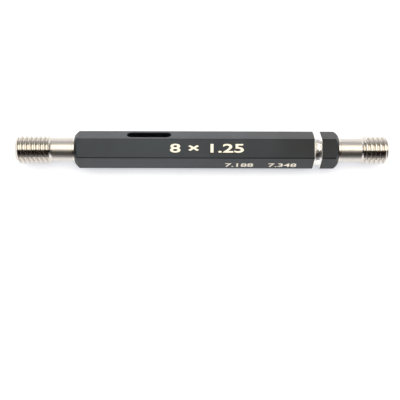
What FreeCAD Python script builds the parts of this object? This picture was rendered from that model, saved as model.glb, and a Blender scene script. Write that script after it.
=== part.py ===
import FreeCAD, Part
import math
import os

# Double-ended thread plug gauge, M8 x 1.25, right hand. Millimetres.
# It lies on one flat of its hexagon handle. X runs along the axis, with the GO member at -X and the
# NO-GO member at +X, +Z is up, and the origin is under the middle of the gauge, on the floor.

# Handle
ACROSS_FLATS = 9.0
HANDLE_LENGTH = 72.0
HANDLE_EDGE_ROUND = 0.35      # the six long edges of the bar
END_FACE_RADIUS = 4.2         # a 45 degree turned chamfer leaves this much of the end face
BORE_RADIUS = 2.61            # drilled right through

# Marking groove, turned round the handle next to its NO-GO end
GROOVE_END_DISTANCE = 4.75    # from the handle's end to the groove's square wall
GROOVE_FLOOR_WIDTH = 1.45
GROOVE_FLOOR_RADIUS = 4.2
GROOVE_WALL_LEAN = 29.0       # degrees that the far wall leans back from square

# Drift slot, through two opposite flats
SLOT_LENGTH = 12.1
SLOT_WIDTH = 3.0
SLOT_END_DISTANCE = 20.3      # from the handle's GO end to the slot's middle
SLOT_FLAT_ANGLE = 30.0        # degrees from +Y to the slotted flat's normal
SLOT_EDGE_BREAK = 0.12

# Taper shank and its seat, 1 in 50 on diameter
TAPER_MOUTH_RADIUS = 2.75     # at the handle's end face
TAPER_RADIUS_PER_MM = 0.01
SHANK_LENGTH = 15.2           # inside the handle, into the drift slot
SHANK_END_CHAMFER = 0.3
SHOULDER_STAND_OFF = 0.1      # the member seats on its taper, clear of the end face

# Members
NECK_RADIUS = 3.25
TIP_FACE_RADIUS = 3.05        # a 45 degree lead rises from here to the crest
CENTRE_HOLE_RADIUS = 1.06     # mouth of the 60 degree centre in the tip
CENTRE_PILOT_RADIUS = 0.5
CENTRE_PILOT_DEPTH = 2.3
PITCH = 1.25
FLANK_ANGLE = 30.0
ROOT_RADIUS = 3.62            # the groove is left this full, to keep the thread light in faces
RIDGE_SINK = 0.08             # the thread ridge is rooted this deep below the groove
RIDGE_STOCK = 0.05            # left on the crest until it is ground

GO = {
    "length": 16.3,           # tip to the handle's end face
    "thread_length": 10.1,
    "crest_radius": 4.0,
    "pitch_radius": 3.594,
    "crest_at": 0.33,         # tip to the first crest, along the +Y side
}
NO_GO = {
    "length": 13.7,
    "thread_length": 7.25,
    "crest_radius": 3.93,
    "pitch_radius": 3.674,
    "crest_at": 0.08,
}

# Worked out from the above
CLEAR = 1.0                   # how far a cutting tool reaches past the metal
AXIS_HEIGHT = ACROSS_FLATS / 2
OVERALL_LENGTH = GO["length"] + HANDLE_LENGTH + NO_GO["length"]
GO_TIP_X = -OVERALL_LENGTH / 2
NO_GO_TIP_X = OVERALL_LENGTH / 2
HANDLE_GO_X = GO_TIP_X + GO["length"]
HANDLE_NO_GO_X = NO_GO_TIP_X - NO_GO["length"]

X_AXIS = FreeCAD.Vector(1, 0, 0)
ORIGIN = FreeCAD.Vector(0, 0, 0)


def turned(points):
    """A solid of revolution about X from (x, radius) points, closed along the axis."""
    wire = Part.makePolygon([FreeCAD.Vector(x, r, 0) for x, r in points + points[:1]])
    return Part.Face(wire).revolve(ORIGIN, X_AXIS, 360)


def taper(wide_x, wide_radius, narrow_x, narrow_radius):
    """A long shallow taper about X, lofted straight between its two end circles.

    The circles are splines, because the loft between them is then one face with few facets.
    """
    circles = [
        Part.Wire(Part.Circle(FreeCAD.Vector(x, 0, 0), X_AXIS, radius).toBSpline().toShape())
        for x, radius in ((wide_x, wide_radius), (narrow_x, narrow_radius))
    ]
    solid, straight = True, True
    return Part.makeLoft(circles, solid, straight)


def hexagon_bar():
    """The drawn bar: a regular hexagon with flats up and down, its long edges rounded."""
    corner = ACROSS_FLATS / math.sqrt(3)
    corners = [
        FreeCAD.Vector(
            HANDLE_GO_X,
            corner * math.cos(math.radians(60 * n)),
            corner * math.sin(math.radians(60 * n)),
        )
        for n in range(7)
    ]
    bar = Part.Face(Part.makePolygon(corners)).extrude(X_AXIS * HANDLE_LENGTH)
    long_edges = [e for e in bar.Edges if abs(e.Length - HANDLE_LENGTH) < 1e-6]
    return bar.makeFillet(HANDLE_EDGE_ROUND, long_edges)


def turned_envelope():
    """What the lathe leaves of the bar: a chamfer at each end and the marking groove."""
    outside = ACROSS_FLATS / math.sqrt(3) + CLEAR
    chamfer = outside - END_FACE_RADIUS
    wall_x = HANDLE_NO_GO_X - GROOVE_END_DISTANCE
    far_x = wall_x - GROOVE_FLOOR_WIDTH
    lean = (outside - GROOVE_FLOOR_RADIUS) * math.tan(math.radians(GROOVE_WALL_LEAN))
    return turned(
        [
            (HANDLE_GO_X, 0),
            (HANDLE_GO_X, END_FACE_RADIUS),
            (HANDLE_GO_X + chamfer, outside),
            (far_x - lean, outside),
            (far_x, GROOVE_FLOOR_RADIUS),
            (wall_x, GROOVE_FLOOR_RADIUS),
            (wall_x, outside),
            (HANDLE_NO_GO_X - chamfer, outside),
            (HANDLE_NO_GO_X, END_FACE_RADIUS),
            (HANDLE_NO_GO_X, 0),
        ]
    )


def bore():
    """The drilled hole, with a taper seat reamed into each end until it is no wider than the hole."""
    seat_depth = (TAPER_MOUTH_RADIUS - BORE_RADIUS) / TAPER_RADIUS_PER_MM
    start = FreeCAD.Vector(HANDLE_GO_X - CLEAR, 0, 0)
    drilled = Part.makeCylinder(BORE_RADIUS, HANDLE_LENGTH + 2 * CLEAR, start, X_AXIS)
    go_seat = taper(HANDLE_GO_X, TAPER_MOUTH_RADIUS, HANDLE_GO_X + seat_depth, BORE_RADIUS)
    no_go_seat = taper(HANDLE_NO_GO_X, TAPER_MOUTH_RADIUS, HANDLE_NO_GO_X - seat_depth, BORE_RADIUS)
    return drilled.fuse(go_seat).fuse(no_go_seat)


def drift_slot():
    """A round-ended cutter that passes through the slotted flat and the one opposite."""
    half_run = (SLOT_LENGTH - SLOT_WIDTH) / 2
    half_width = SLOT_WIDTH / 2
    reach = AXIS_HEIGHT + CLEAR

    def at(x, y):
        return FreeCAD.Vector(x, y, -reach)

    far_corners = at(half_run, half_width), at(half_run, -half_width)
    near_corners = at(-half_run, -half_width), at(-half_run, half_width)
    far_end = at(half_run + half_width, 0)
    near_end = at(-half_run - half_width, 0)
    edges = [
        Part.makeLine(near_corners[1], far_corners[0]),
        Part.Arc(far_corners[0], far_end, far_corners[1]).toShape(),
        Part.makeLine(far_corners[1], near_corners[0]),
        Part.Arc(near_corners[0], near_end, near_corners[1]).toShape(),
    ]
    cutter = Part.Face(Part.Wire(edges)).extrude(FreeCAD.Vector(0, 0, 2 * reach))
    # the cutter's own axis is +Z, which turns about X to the slotted flat's normal
    cutter.rotate(ORIGIN, X_AXIS, SLOT_FLAT_ANGLE - 90)
    cutter.translate(X_AXIS * (HANDLE_GO_X + SLOT_END_DISTANCE))
    return cutter


def slot_mouth_edges(shape):
    """The edges where the drift slot breaks through the two flats."""
    angle = math.radians(SLOT_FLAT_ANGLE)
    normal = FreeCAD.Vector(0, math.cos(angle), math.sin(angle))
    middle = HANDLE_GO_X + SLOT_END_DISTANCE
    return [
        edge
        for edge in shape.Edges
        if all(
            abs(abs(p.dot(normal)) - AXIS_HEIGHT) < 1e-4 and abs(p.x - middle) < SLOT_LENGTH / 2 + 1e-4
            for p in edge.discretize(5)
        )
    ]


def make_handle():
    """The bar, turned, bored and slotted, with the slot's mouths broken."""
    handle = hexagon_bar().common(turned_envelope()).cut(bore()).cut(drift_slot())
    return handle.makeChamfer(SLOT_EDGE_BREAK, slot_mouth_edges(handle))


def lead_x(radius):
    """Where the 45 degree lead at the tip reaches a radius."""
    return radius - TIP_FACE_RADIUS


def run_out_x(member, radius):
    """Where the 45 degree end of the thread, next to the neck, is at a radius."""
    return member["thread_length"] - (radius - NECK_RADIUS)


def turned_blank(member):
    """The member before its thread and taper: lead, thread root, neck and square shoulder."""
    shoulder = member["length"] - SHOULDER_STAND_OFF
    return turned(
        [
            (0, 0),
            (0, TIP_FACE_RADIUS),
            (lead_x(ROOT_RADIUS), ROOT_RADIUS),
            (run_out_x(member, ROOT_RADIUS), ROOT_RADIUS),
            (member["thread_length"], NECK_RADIUS),
            (shoulder, NECK_RADIUS),
            (shoulder, 0),
        ]
    )


def taper_shank(member):
    """The 1 in 50 shank behind the shoulder, with a chamfered end."""
    seat = member["length"]

    def radius_at(x):
        return TAPER_MOUTH_RADIUS - (x - seat) * TAPER_RADIUS_PER_MM

    start = seat - SHOULDER_STAND_OFF
    end = seat + SHANK_LENGTH
    chamfer = end - SHANK_END_CHAMFER
    tail = turned(
        [
            (chamfer, 0),
            (chamfer, radius_at(chamfer)),
            (end, radius_at(chamfer) - SHANK_END_CHAMFER),
            (end, 0),
        ]
    )
    return taper(start, radius_at(start), chamfer, radius_at(chamfer)).fuse(tail)


def centre_hole():
    """The 60 degree centre with its pilot, entering the tip along +X."""
    slope = math.tan(math.radians(30))
    return turned(
        [
            (-CLEAR, 0),
            (-CLEAR, CENTRE_HOLE_RADIUS + CLEAR * slope),
            ((CENTRE_HOLE_RADIUS - CENTRE_PILOT_RADIUS) / slope, CENTRE_PILOT_RADIUS),
            (CENTRE_PILOT_DEPTH, CENTRE_PILOT_RADIUS),
            (CENTRE_PILOT_DEPTH, 0),
        ]
    )


def thread_envelope(member):
    """What the crests are ground to: a cylinder that falls away at 45 degrees at both ends."""
    crest = member["crest_radius"]
    below = ROOT_RADIUS - 2 * RIDGE_SINK
    return turned(
        [
            (lead_x(below), 0),
            (lead_x(below), below),
            (lead_x(crest), crest),
            (run_out_x(member, crest), crest),
            (run_out_x(member, below), below),
            (run_out_x(member, below), 0),
        ]
    )


def thread_ridge(member):
    """One right-hand ridge with 30 degree flanks: its section, carried along a helix about X."""
    slope = math.tan(math.radians(FLANK_ANGLE))
    foot = ROOT_RADIUS - RIDGE_SINK
    top = member["crest_radius"] + RIDGE_STOCK

    def half_width(r):
        return PITCH / 4 - (r - member["pitch_radius"]) * slope

    section = Part.makePolygon(
        [
            FreeCAD.Vector(foot, 0, -half_width(foot)),
            FreeCAD.Vector(top, 0, -half_width(top)),
            FreeCAD.Vector(top, 0, half_width(top)),
            FreeCAD.Vector(foot, 0, half_width(foot)),
            FreeCAD.Vector(foot, 0, -half_width(foot)),
        ]
    )
    start = member["crest_at"] - 2 * PITCH
    turns = math.ceil((member["thread_length"] - start) / PITCH) + 1
    cone_angle = 0
    helix = Part.makeLongHelix(PITCH, turns * PITCH, foot, cone_angle)
    solid, square_to_helix = True, True
    ridge = Part.Wire(helix.Edges).makePipeShell([section], solid, square_to_helix)
    # turn the helix's own X, Y and Z into Y, Z and X
    ridge.rotate(ORIGIN, FreeCAD.Vector(1, 1, 1), 120)
    ridge.translate(X_AXIS * start)
    return ridge


def make_member(member):
    """One gauging member, its tip at x = 0 and its shank towards +X."""
    ground_ridge = thread_ridge(member).common(thread_envelope(member))
    return turned_blank(member).fuse(taper_shank(member)).fuse(ground_ridge).cut(centre_hole())


def export(node, shape):
    """Stands the piece on the floor and writes its one solid."""
    shape.translate(FreeCAD.Vector(0, 0, AXIS_HEIGHT))
    shape.Solids[0].exportStep("parts/%s.step" % node)


os.makedirs("parts", exist_ok=True)

export("handle", make_handle())

go_member = make_member(GO)
go_member.translate(X_AXIS * GO_TIP_X)
export("go_member", go_member)

# turned end for end about Y, which keeps the +Y side and the hand of the thread
no_go_member = make_member(NO_GO)
no_go_member.rotate(ORIGIN, FreeCAD.Vector(0, 1, 0), 180)
no_go_member.translate(X_AXIS * NO_GO_TIP_X)
export("no_go_member", no_go_member)
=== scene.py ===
"""Looks of a double-ended thread plug gauge, M8 x 1.25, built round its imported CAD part.

The gauge lies on one flat of its hexagon handle, with its axis along X, the GO member at -X and the
NO-GO member at +X. Sizes are in millimetres and become metres where a mesh is made.
"""

import math

import bmesh
import bpy
import numpy as np
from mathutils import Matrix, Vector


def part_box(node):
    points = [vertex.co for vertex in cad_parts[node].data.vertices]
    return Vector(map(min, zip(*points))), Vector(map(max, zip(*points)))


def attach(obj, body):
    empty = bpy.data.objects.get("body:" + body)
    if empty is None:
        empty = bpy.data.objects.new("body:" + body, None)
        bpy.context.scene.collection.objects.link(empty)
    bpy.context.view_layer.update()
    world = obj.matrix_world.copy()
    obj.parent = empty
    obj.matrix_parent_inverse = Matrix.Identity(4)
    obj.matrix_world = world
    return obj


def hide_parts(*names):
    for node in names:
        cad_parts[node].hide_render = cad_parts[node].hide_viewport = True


MM = 0.001

# Gauging members: the same driving sizes as the CAD part, with the thread ground to full depth
PITCH = 1.25
FLANK_ANGLE = 30.0
NECK_RADIUS = 3.25            # also the radius at the root of the thread
TIP_FACE_RADIUS = 3.05        # a 45 degree lead rises from here
CENTRE_HOLE_RADIUS = 1.06
CENTRE_PILOT_RADIUS = 0.5
CENTRE_PILOT_DEPTH = 2.3
TAPER_MOUTH_RADIUS = 2.75
TAPER_RADIUS_PER_MM = 0.01
SHANK_LENGTH = 15.2
SHANK_END_CHAMFER = 0.3
SHOULDER_STAND_OFF = 0.1
GO = {
    "node": "go_member",
    "thread_length": 10.1,
    "crest_radius": 4.0,
    "pitch_radius": 3.594,
    "crest_at": 0.33,
}
NO_GO = {
    "node": "no_go_member",
    "thread_length": 7.25,
    "crest_radius": 3.93,
    "pitch_radius": 3.674,
    "crest_at": 0.08,
}

# The finer-ground band of the neck next to the handle, set off by a fine line
BAND_WIDTH = 0.6
BAND_LINE_WIDTH = 0.1
BAND_LINE_DEPTH = 0.04

# Handle
ACROSS_FLATS = 9.0
GROOVE_END_DISTANCE = 4.75
GROOVE_FLOOR_WIDTH = 1.45
GROOVE_FLOOR_RADIUS = 4.2
GROOVE_WALL_LEAN = 29.0

# Marks: the thread's size on the top flat, and its two pitch diameters on the near flank
MARK_STAND = 0.006            # above the face
MARK_ROOT = 0.03              # below the face
SIZE_MARK = {"text": "8 × 1.25", "height": 2.4, "width": 20.0, "x": 1.4, "up": 0.1, "turn": 0}
LIMIT_MARK = {"text": "7.188    7.348", "height": 1.75, "width": 19.6, "x": 16.2, "up": -0.78, "turn": -60}

# How finely the threads are drawn
STEPS_PER_PITCH = 40
STEPS_AROUND = 144
EDGE_SOFTNESS = 0.05          # of crest, root and run-out edges
CORNER_ROUND = 0.05           # of the turned edges

# Camera, over the gauge and a little to its near side
CAMERA_HEIGHT = 193.8         # above the gauge's axis
CAMERA_X = -0.44
CAMERA_Y = -13.9
CAMERA_TURN = -0.15           # degrees, so that the gauge lies a little clockwise
VIEW_WIDTH = 110.7            # seen across the picture at the height of the axis
SENSOR = 36.0

# Studio
SHEET_RADIUS = 900.0
SHEET_LIFT = 0.56             # glow that makes the lit sheet white to the eye and in reflections
LAMP_HEIGHT = 900.0           # above the gauge's axis
LAMP_LENGTH = 2000.0

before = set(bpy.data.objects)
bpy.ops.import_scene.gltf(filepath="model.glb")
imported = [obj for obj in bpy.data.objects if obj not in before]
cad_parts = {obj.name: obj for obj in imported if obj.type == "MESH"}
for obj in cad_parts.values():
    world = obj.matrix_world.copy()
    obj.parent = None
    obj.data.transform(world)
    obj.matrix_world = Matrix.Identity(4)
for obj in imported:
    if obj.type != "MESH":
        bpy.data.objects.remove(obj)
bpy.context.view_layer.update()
handle_low, handle_high = (np.array(corner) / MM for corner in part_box("handle"))
AXIS_HEIGHT = (handle_low[2] + handle_high[2]) / 2


# ---------------------------------------------------------------- materials

def linear(hex_colour):
    """An sRGB hex colour as linear red, green, blue and alpha."""
    values = [int(hex_colour[i:i + 2], 16) / 255 for i in (1, 3, 5)]
    return [v / 12.92 if v <= 0.04045 else ((v + 0.055) / 1.055) ** 2.4 for v in values] + [1.0]


def new_material(name):
    """An empty node material, with its node tree and its surface output."""
    material = bpy.data.materials.new(name)
    material.use_nodes = True
    tree = material.node_tree
    tree.nodes.clear()
    return material, tree, tree.nodes.new("ShaderNodeOutputMaterial")


def add_node(tree, kind, settings=None, **inputs):
    """Adds a node, sets its properties, and sets or links its inputs by name (spaces as underscores)."""
    node = tree.nodes.new("ShaderNode" + kind)
    for name, value in (settings or {}).items():
        setattr(node, name, value)
    for name, value in inputs.items():
        key = int(name[1:]) if name[0] == "_" else name.replace("_", " ")
        socket = node.inputs[key]
        if isinstance(value, bpy.types.NodeSocket):
            tree.links.new(value, socket)
        else:
            socket.default_value = value
    return node


def rings_round_axis(tree, ring_mm, detail):
    """Noise that changes along X in steps of about ring_mm and hardly at all round the axis."""
    place = add_node(tree, "TexCoord").outputs["Object"]
    steps_per_metre_across = 12.0
    scale = (1 / (ring_mm * MM), steps_per_metre_across, steps_per_metre_across)
    stretched = add_node(tree, "Mapping", Vector=place, Scale=scale)
    noise = add_node(tree, "TexNoise", Vector=stretched.outputs[0], Scale=1.0, Detail=detail,
                     Roughness=0.6)
    return noise.outputs["Fac"]


def round_ground_steel(name, dull, bright, ring_mm, smoothest, roughest, bump_mm):
    """Tool steel ground between centres: tone, gloss and a slight bump all follow the wheel's rings."""
    material, tree, output = new_material(name)
    rings = rings_round_axis(tree, ring_mm, detail=3.0)
    colour = add_node(tree, "Mix", {"data_type": "RGBA"}, Factor=rings, A=linear(dull), B=linear(bright))
    roughness = add_node(tree, "MapRange", Value=rings, From_Min=0.3, From_Max=0.7,
                         To_Min=roughest, To_Max=smoothest)
    bump = add_node(tree, "Bump", Height=rings, Strength=0.5, Distance=bump_mm * MM)
    shader = add_node(tree, "BsdfPrincipled", Base_Color=colour.outputs[2], Metallic=1.0,
                      Roughness=roughness.outputs[0], Normal=bump.outputs[0])
    tree.links.new(shader.outputs[0], output.inputs["Surface"])
    return material


def satin_ground_steel():
    """Hardened tool steel, cylindrically ground: the necks, the shanks and the tips.

    It is a satin, slightly warm grey. The wheel's rings lie about 0.05 mm apart and are drawn at
    0.5 mm, so that they show as faint bands across the highlight.
    """
    return round_ground_steel("satin_ground_steel", "#c6c1bb", "#dcd7d1", ring_mm=0.5,
                              smoothest=0.3, roughest=0.38, bump_mm=0.002)


def lapped_thread_steel():
    """The same steel with its thread ground and lapped, crisp and shiny, in rings 0.2 mm apart."""
    return round_ground_steel("lapped_thread_steel", "#cbc6bf", "#d8d3cc", ring_mm=0.2,
                              smoothest=0.11, roughest=0.17, bump_mm=0.001)


def fine_ground_band_steel():
    """The same steel, ground finer where the neck's shoulder meets the handle: a brighter, smoother band."""
    return round_ground_steel("fine_ground_band_steel", "#d8d2c8", "#e2dcd2", ring_mm=0.3,
                              smoothest=0.22, roughest=0.28, bump_mm=0.001)


def blackened_steel():
    """Drawn steel bar, chemically blackened and oiled.

    The conversion coat is a thin dark skin on the metal, deep blue-black and semi-gloss, and the oil
    lies over it as a clear film. The drawn surface has a fine grain, drawn at 0.12 mm, and the
    coat's depth wanders over about 14 mm. The colour also darkens towards the NO-GO end as a painted
    reflection of a dark thing overhead.
    """
    material, tree, output = new_material("blackened_steel")
    place = add_node(tree, "TexCoord").outputs["Object"]
    grain_mm = 0.12
    patch_mm = 14.0
    # painted reflection: from here towards the NO-GO end the colour darkens, standing in for a dark thing
    # overhead seen in the coat
    painted_reflection_starts_mm = -10.0
    painted_reflection_full_mm = 36.0
    grain = add_node(tree, "TexNoise", Vector=place, Scale=1 / (grain_mm * MM), Detail=2.0)
    patches = add_node(tree, "TexNoise", Vector=place, Scale=1 / (patch_mm * MM), Detail=3.0)
    x = add_node(tree, "SeparateXYZ", Vector=place).outputs["X"]
    painted_reflection_towards_no_go = add_node(tree, "MapRange", Value=x, From_Min=painted_reflection_starts_mm * MM,
                      From_Max=painted_reflection_full_mm * MM, To_Min=0.0, To_Max=0.75)
    wander = add_node(tree, "MapRange", Value=patches.outputs["Fac"], From_Min=0.35, From_Max=0.65,
                      To_Min=-0.12, To_Max=0.22)
    # the random wander of the coat's tone plus the painted dark reflection towards the NO-GO end
    tone_and_painted_reflection = add_node(tree, "Math", {"operation": "ADD", "use_clamp": True}, _0=painted_reflection_towards_no_go.outputs[0],
                     _1=wander.outputs[0])
    colour = add_node(tree, "Mix", {"data_type": "RGBA"}, Factor=tone_and_painted_reflection.outputs[0],
                      A=linear("#2b3036"), B=linear("#121417"))
    roughness = add_node(tree, "MapRange", Value=patches.outputs["Fac"], From_Min=0.3, From_Max=0.7,
                         To_Min=0.34, To_Max=0.42)
    bump = add_node(tree, "Bump", Height=grain.outputs["Fac"], Strength=0.25, Distance=0.01 * MM)
    shader = add_node(tree, "BsdfPrincipled", Base_Color=colour.outputs[2], Metallic=1.0,
                      Roughness=roughness.outputs[0], Normal=bump.outputs[0],
                      Coat_Weight=0.5, Coat_Roughness=0.35)
    tree.links.new(shader.outputs[0], output.inputs["Surface"])
    return material


def bright_turned_steel():
    """Steel laid bare by a turning tool in the marking groove, with fine tool rings 0.1 mm apart."""
    return round_ground_steel("bright_turned_steel", "#eceae6", "#f8f7f4", ring_mm=0.1,
                              smoothest=0.2, roughest=0.26, bump_mm=0.002)


def etched_steel():
    """Bare steel where the marks are etched through the black coat: matt, and frosted at 0.04 mm."""
    material, tree, output = new_material("etched_steel")
    place = add_node(tree, "TexCoord").outputs["Object"]
    frost_mm = 0.04
    frost = add_node(tree, "TexNoise", Vector=place, Scale=1 / (frost_mm * MM), Detail=1.0)
    colour = add_node(tree, "Mix", {"data_type": "RGBA"}, Factor=frost.outputs["Fac"],
                      A=linear("#d9d2c4"), B=linear("#efe8da"))
    bump = add_node(tree, "Bump", Height=frost.outputs["Fac"], Strength=0.4, Distance=0.005 * MM)
    shader = add_node(tree, "BsdfPrincipled", Base_Color=colour.outputs[2], Metallic=1.0,
                      Roughness=0.42, Normal=bump.outputs[0])
    tree.links.new(shader.outputs[0], output.inputs["Surface"])
    return material


def white_studio_sheet():
    """A matt white studio sheet, a touch cool. It reads as white and keeps the gauge's soft shadow."""
    material, tree, output = new_material("white_studio_sheet")
    path = add_node(tree, "LightPath")
    seen = add_node(tree, "Math", {"operation": "MAXIMUM"}, _0=path.outputs["Is Camera Ray"],
                    _1=path.outputs["Is Glossy Ray"])
    seen = add_node(tree, "Math", {"operation": "MAXIMUM"}, _0=seen.outputs[0],
                    _1=path.outputs["Is Transmission Ray"])
    lift = add_node(tree, "Math", {"operation": "MULTIPLY"}, _0=seen.outputs[0], _1=SHEET_LIFT)
    sheet = add_node(tree, "BsdfDiffuse", Color=linear("#f2f3f6"))
    glow = add_node(tree, "Emission", Color=linear("#f4f7ff"), Strength=lift.outputs[0])
    both = add_node(tree, "AddShader", _0=sheet.outputs[0], _1=glow.outputs[0])
    tree.links.new(both.outputs[0], output.inputs["Surface"])
    return material


# ---------------------------------------------------------------- meshes

def mesh_object(name, points, faces, smooth_below=None):
    """Makes an object from an array of points in millimetres and an array of faces.

    Points that meet are merged, which closes the seam and the poles. Edges sharper than
    smooth_below degrees stay sharp, and the others are shaded smooth.
    """
    mesh = bpy.data.meshes.new(name)
    mesh.from_pydata((points * MM).tolist(), [], faces.tolist())
    return finish_mesh(name, mesh, smooth_below)


def finish_mesh(name, mesh, smooth_below):
    """Merges doubles, points the faces outwards, sets smooth shading and links the object."""
    work = bmesh.new()
    work.from_mesh(mesh)
    bmesh.ops.remove_doubles(work, verts=work.verts, dist=1e-4 * MM)
    bmesh.ops.dissolve_degenerate(work, edges=work.edges, dist=1e-4 * MM)
    bmesh.ops.recalc_face_normals(work, faces=work.faces)
    work.to_mesh(mesh)
    work.free()
    if smooth_below is not None:
        mesh.shade_smooth()
        mesh.set_sharp_from_angle(angle=math.radians(smooth_below))
    thing = bpy.data.objects.new(name, mesh)
    bpy.context.scene.collection.objects.link(thing)
    return thing


def grid_faces(rows, columns):
    """The quads of a grid of rows by columns points, numbered row by row."""
    start = (np.arange(rows - 1)[:, None] * columns + np.arange(columns - 1)[None, :]).ravel()
    return np.stack([start, start + 1, start + columns + 1, start + columns], axis=1)


def face_centres(mesh):
    """The centre of each face, in millimetres."""
    centres = np.empty(len(mesh.polygons) * 3)
    mesh.polygons.foreach_get("center", centres)
    return centres.reshape(-1, 3) / MM


def soft_min(a, b, k):
    """The smaller of a and b, with the corner between them rounded over a distance k."""
    return np.minimum(a, b) - np.maximum(k - np.abs(a - b), 0) ** 2 / (4 * k)


def soft_max(a, b, k):
    """The larger of a and b, with the corner between them rounded over a distance k."""
    return -soft_min(-a, -b, k)


def rounded(corners, radius, steps=3):
    """A profile of (distance, radius) corners, each inner one replaced by a short parabola.

    The parabola leaves and joins the two sides at the given distance from the corner, or at
    0.4 of a shorter side.
    """
    corners = np.array(corners, float)
    points = [corners[0]]
    t = np.linspace(0, 1, steps + 1)[:, None]
    for before, corner, after in zip(corners, corners[1:], corners[2:]):
        to_before, to_after = before - corner, after - corner
        reach = min(radius, 0.4 * np.linalg.norm(to_before), 0.4 * np.linalg.norm(to_after))
        start = corner + to_before / np.linalg.norm(to_before) * reach
        end = corner + to_after / np.linalg.norm(to_after) * reach
        points.extend((1 - t) ** 2 * start + 2 * t * (1 - t) * corner + t ** 2 * end)
    points.append(corners[-1])
    return np.array(points)


def thread_rows(member, turn):
    """Distance from the tip and radius of each grid point of the thread, as rows by turn angles.

    Each row follows the helix: its distance grows by one pitch over a full turn, held between the
    tip and the thread's end. The radius is the height of the ridge there: a straight 30 degree
    flank measured from the nearest crest, held between root and crest, and cut down to the 45
    degree cones at both ends, with every corner softened.
    """
    end = member["thread_length"]
    count = math.ceil((end + PITCH) / PITCH * STEPS_PER_PITCH) + 1
    along = -PITCH + np.arange(count)[:, None] * PITCH / STEPS_PER_PITCH
    helix = along + PITCH * turn[None, :] / (2 * math.pi)
    distance = np.clip(helix, 0, end)
    phase = (distance - member["crest_at"]) / PITCH - turn[None, :] / (2 * math.pi)
    from_crest = np.abs(phase - np.round(phase)) * PITCH
    flank = member["pitch_radius"] + (PITCH / 4 - from_crest) / math.tan(math.radians(FLANK_ANGLE))
    ridge = soft_max(flank, NECK_RADIUS, EDGE_SOFTNESS)
    ridge = soft_min(ridge, member["crest_radius"], EDGE_SOFTNESS)
    lead = TIP_FACE_RADIUS + distance
    run_out = NECK_RADIUS + np.maximum(end - distance, 0)
    core = np.minimum(lead, NECK_RADIUS)
    cone = np.minimum(lead, run_out)
    return distance, np.where(cone - core < 1e-6, core, soft_min(ridge, cone, EDGE_SOFTNESS * 0.6))


def gauging_member(member, side, finishes):
    """One member as a single closed surface: a grid of profile rows by angles round the axis.

    Every row but the thread's is a circle. The rows run from the bottom of the tip's centre hole,
    out over the tip, along the thread, neck and shank, and into the far centre hole.
    """
    low, high = (np.array(corner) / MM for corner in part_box(member["node"]))
    tip = low[0] if side < 0 else high[0]
    seat_x = handle_low[0] if side < 0 else handle_high[0]
    seat = abs(seat_x - tip)
    turn = np.linspace(0, 2 * math.pi, STEPS_AROUND + 1)
    slope = math.tan(math.radians(30))
    cone_depth = (CENTRE_HOLE_RADIUS - CENTRE_PILOT_RADIUS) / slope
    hole = [
        (CENTRE_PILOT_DEPTH, 0.0),
        (CENTRE_PILOT_DEPTH, CENTRE_PILOT_RADIUS),
        (cone_depth, CENTRE_PILOT_RADIUS),
        (0.0, CENTRE_HOLE_RADIUS),
    ]
    tip_rows = rounded(hole + [(0.0, TIP_FACE_RADIUS)], CORNER_ROUND)
    shoulder = seat - SHOULDER_STAND_OFF
    band = shoulder - BAND_WIDTH
    shank_start = TAPER_MOUTH_RADIUS + SHOULDER_STAND_OFF * TAPER_RADIUS_PER_MM
    shank_end = seat + SHANK_LENGTH
    end_radius = TAPER_MOUTH_RADIUS - SHANK_LENGTH * TAPER_RADIUS_PER_MM
    back = [
        (member["thread_length"], NECK_RADIUS),
        (band - BAND_LINE_WIDTH, NECK_RADIUS),
        (band - BAND_LINE_WIDTH / 2, NECK_RADIUS - BAND_LINE_DEPTH),
        (band, NECK_RADIUS),
        (shoulder, NECK_RADIUS),
        (shoulder, shank_start),
        (shank_end - SHANK_END_CHAMFER, end_radius + SHANK_END_CHAMFER * TAPER_RADIUS_PER_MM),
        (shank_end, end_radius - SHANK_END_CHAMFER),
    ]
    far_hole = [(shank_end - d, r) for d, r in reversed(hole)]
    back_rows = rounded(back + far_hole, CORNER_ROUND)

    thread_distance, thread_radius = thread_rows(member, turn)
    ones = np.ones((1, len(turn)))
    distance = np.vstack([tip_rows[:, :1] * ones, thread_distance, back_rows[:, :1] * ones])
    radius = np.vstack([tip_rows[:, 1:] * ones, thread_radius, back_rows[:, 1:] * ones])
    # the NO-GO member is the same form turned end for end about Y
    x = tip - side * distance
    y = radius * np.cos(turn)
    z = AXIS_HEIGHT - side * radius * np.sin(turn)
    points = np.stack([x, y, z], axis=-1).reshape(-1, 3)
    piece = mesh_object(member["node"] + "_ground", points, grid_faces(*distance.shape), smooth_below=40)

    mesh = piece.data
    for finish in finishes:
        mesh.materials.append(finish)
    centres = face_centres(mesh)
    away = (tip - centres[:, 0]) * side
    reach = np.hypot(centres[:, 1], centres[:, 2] - AXIS_HEIGHT)
    on_thread = (away > 1e-3) & (away < member["thread_length"]) & (reach > TIP_FACE_RADIUS - 0.01)
    on_band = (away > band) & (away < shoulder + 0.01)
    mesh.polygons.foreach_set("material_index", np.where(on_thread, 1, np.where(on_band, 2, 0)))
    return piece


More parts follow.
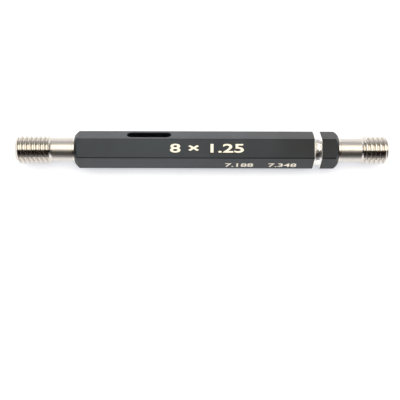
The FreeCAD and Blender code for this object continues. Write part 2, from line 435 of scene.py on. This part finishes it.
def handle_bar(black, bright):
    """The handle's own CAD form with its loose triangles merged, and the marking groove left bright.

    A face belongs to the groove if all of it lies between the groove's square wall and the top of
    its leaning wall, and inside the cone that the leaning wall continues.
    """
    leaning_wall_run = 2.0        # at most this long along X
    touching = 0.01
    inside_cone = 0.02
    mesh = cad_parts["handle"].data.copy()
    bar = finish_mesh("handle_bar", mesh, smooth_below=25)
    mesh.materials.clear()
    mesh.materials.append(black)
    mesh.materials.append(bright)
    wall_x = handle_high[0] - GROOVE_END_DISTANCE
    far_x = wall_x - GROOVE_FLOOR_WIDTH
    lean = math.tan(math.radians(GROOVE_WALL_LEAN))
    for face in mesh.polygons:
        inside = True
        for index in face.vertices:
            x, y, z = mesh.vertices[index].co / MM
            edge = GROOVE_FLOOR_RADIUS + max(0.0, far_x - x) / lean
            reach = math.hypot(y, z - AXIS_HEIGHT)
            on_wall = abs(x - wall_x) < touching
            between_walls = far_x - leaning_wall_run < x < wall_x + touching
            inside &= between_walls and (reach < edge + inside_cone or on_wall)
        face.material_index = 1 if inside else 0
    weigh = bar.modifiers.new("even_flats", "WEIGHTED_NORMAL")
    weigh.keep_sharp = True
    return bar


def etched_mark(name, mark):
    """A line of plain numbers, sunk into one flat of the handle and a hair proud of it.

    The text is made a mesh about its own middle, scaled to the mark's height and width, turned about
    X to the flat's slope and set on the flat, up being across the flat from its middle line.
    """
    bolder_strokes = 0.018        # for text one unit high
    any_thickness = 0.5           # scaled to the mark's own below
    text = bpy.data.curves.new(name, "FONT")
    text.body = mark["text"]
    text.align_x = "CENTER"
    text.align_y = "CENTER"
    text.resolution_u = 4
    text.offset = bolder_strokes
    text.extrude = any_thickness
    holder = bpy.data.objects.new(name + "_text", text)
    mesh = bpy.data.meshes.new_from_object(holder)
    bpy.data.objects.remove(holder)
    bpy.data.curves.remove(text)

    points = np.empty(len(mesh.vertices) * 3)
    mesh.vertices.foreach_get("co", points)
    points = points.reshape(-1, 3)
    low, high = points.min(0), points.max(0)
    points = (points - (low + high) / 2) / (high - low)
    along = points[:, 0] * mark["width"] + mark["x"]
    across = points[:, 1] * mark["height"] + mark["up"]
    out = ACROSS_FLATS / 2 + np.where(points[:, 2] > 0, MARK_STAND, -MARK_ROOT)
    # an angle from +Z towards +Y gives the flat's normal, and the text's up runs across it
    turn = math.radians(mark["turn"])
    y = out * math.sin(turn) + across * math.cos(turn)
    z = AXIS_HEIGHT + out * math.cos(turn) - across * math.sin(turn)
    placed = np.stack([along, y, z], axis=-1) * MM
    mesh.vertices.foreach_set("co", placed.ravel())
    return finish_mesh(name, mesh, smooth_below=None)


def studio_floor():
    """A round flat sheet much larger than the view, which the gauge lies on.

    It is a grid of rings by angles, at the height of the gauge's lowest flat.
    """
    ring_count, angle_count = 9, 97
    rings = np.linspace(0, 1, ring_count)[:, None] * SHEET_RADIUS
    turn = np.linspace(0, 2 * math.pi, angle_count)[None, :]
    x = rings * np.cos(turn)
    y = rings * np.sin(turn)
    points = np.stack([x, y, np.zeros_like(x)], axis=-1).reshape(-1, 3)
    return mesh_object("studio_floor", points, grid_faces(ring_count, angle_count))


# ---------------------------------------------------------------- build

finishes = [satin_ground_steel(), lapped_thread_steel(), fine_ground_band_steel()]
for member, side in ((GO, -1), (NO_GO, 1)):
    piece = gauging_member(member, side, finishes)
    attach(piece, "root")
    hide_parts(member["node"])

bar = handle_bar(blackened_steel(), bright_turned_steel())
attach(bar, "root")
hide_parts("handle")

etched = etched_steel()
for name, mark in (("size_mark", SIZE_MARK), ("limit_mark", LIMIT_MARK)):
    piece = etched_mark(name, mark)
    piece.data.materials.append(etched)
    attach(piece, "root")

floor = studio_floor()
floor.data.materials.append(white_studio_sheet())


# ---------------------------------------------------------------- light and camera

def overhead_lamp(from_angle, to_angle, radiance, colour):
    """A flat soft box over the gauge, seen from it between two angles from the zenith towards +Y.

    Its power is its radiance times pi times its area.
    """
    near = LAMP_HEIGHT * math.tan(math.radians(from_angle))
    far = LAMP_HEIGHT * math.tan(math.radians(to_angle))
    data = bpy.data.lights.new("overhead_soft_box", "AREA")
    data.shape = "RECTANGLE"
    data.size = LAMP_LENGTH * MM
    data.size_y = (far - near) * MM
    data.energy = radiance * math.pi * data.size * data.size_y
    data.color = linear(colour)[:3]
    lamp = bpy.data.objects.new("overhead_soft_box", data)
    lamp.location = (0, (near + far) / 2 * MM, (AXIS_HEIGHT + LAMP_HEIGHT) * MM)
    bpy.context.scene.collection.objects.link(lamp)


def studio_room(stops):
    """The room round the gauge: a colour for each angle from the zenith towards +Y, white in view."""
    world = bpy.data.worlds.new("studio")
    bpy.context.scene.world = world
    world.use_nodes = True
    tree = world.node_tree
    tree.nodes.clear()
    direction = add_node(tree, "TexCoord").outputs["Generated"]
    parts = add_node(tree, "SeparateXYZ", Vector=direction)
    lean = add_node(tree, "Math", {"operation": "ARCTAN2"}, _0=parts.outputs["Y"], _1=parts.outputs["Z"])
    share = add_node(tree, "MapRange", Value=lean.outputs[0], From_Min=-math.pi / 2, From_Max=math.pi / 2)
    room = add_node(tree, "ValToRGB", Fac=share.outputs[0])
    ramp = room.color_ramp
    while len(ramp.elements) < len(stops):
        ramp.elements.new(0.5)
    for element, (angle, colour) in zip(ramp.elements, stops):
        element.position = (angle + 90) / 180
        element.color = linear(colour)
    path = add_node(tree, "LightPath")
    shown = add_node(tree, "Mix", {"data_type": "RGBA"}, Factor=path.outputs["Is Camera Ray"],
                     A=room.outputs["Color"], B=(1.0, 1.0, 1.0, 1.0))
    background = add_node(tree, "Background", Color=shown.outputs[2], Strength=1.0)
    output = tree.nodes.new("ShaderNodeOutputWorld")
    tree.links.new(background.outputs[0], output.inputs["Surface"])


def studio_camera():
    """A camera that looks straight down, as wide as VIEW_WIDTH at the height of the gauge's axis."""
    lens = bpy.data.cameras.new("camera")
    lens.sensor_width = SENSOR
    lens.lens = SENSOR * CAMERA_HEIGHT / VIEW_WIDTH
    lens.clip_start = 1 * MM
    lens.clip_end = 10
    camera = bpy.data.objects.new("camera", lens)
    camera.location = (CAMERA_X * MM, CAMERA_Y * MM, (AXIS_HEIGHT + CAMERA_HEIGHT) * MM)
    camera.rotation_euler = (0, 0, math.radians(-CAMERA_TURN))
    bpy.context.scene.collection.objects.link(camera)
    bpy.context.scene.camera = camera


overhead_lamp(from_angle=-9, to_angle=41, radiance=1.27, colour="#fffcf3")
studio_room([
    (-90, "#bcbdc6"), (-76, "#9a9ba2"), (-66, "#74716f"), (-56, "#261c1c"), (-8, "#221919"),
    (0, "#fff8ea"), (38, "#fff8ea"), (46, "#c0bbb4"), (62, "#c0bcb8"), (78, "#dedfe4"),
    (90, "#e4e6ec"),
])

studio_camera()
bpy.context.scene.view_settings.view_transform = "Standard"
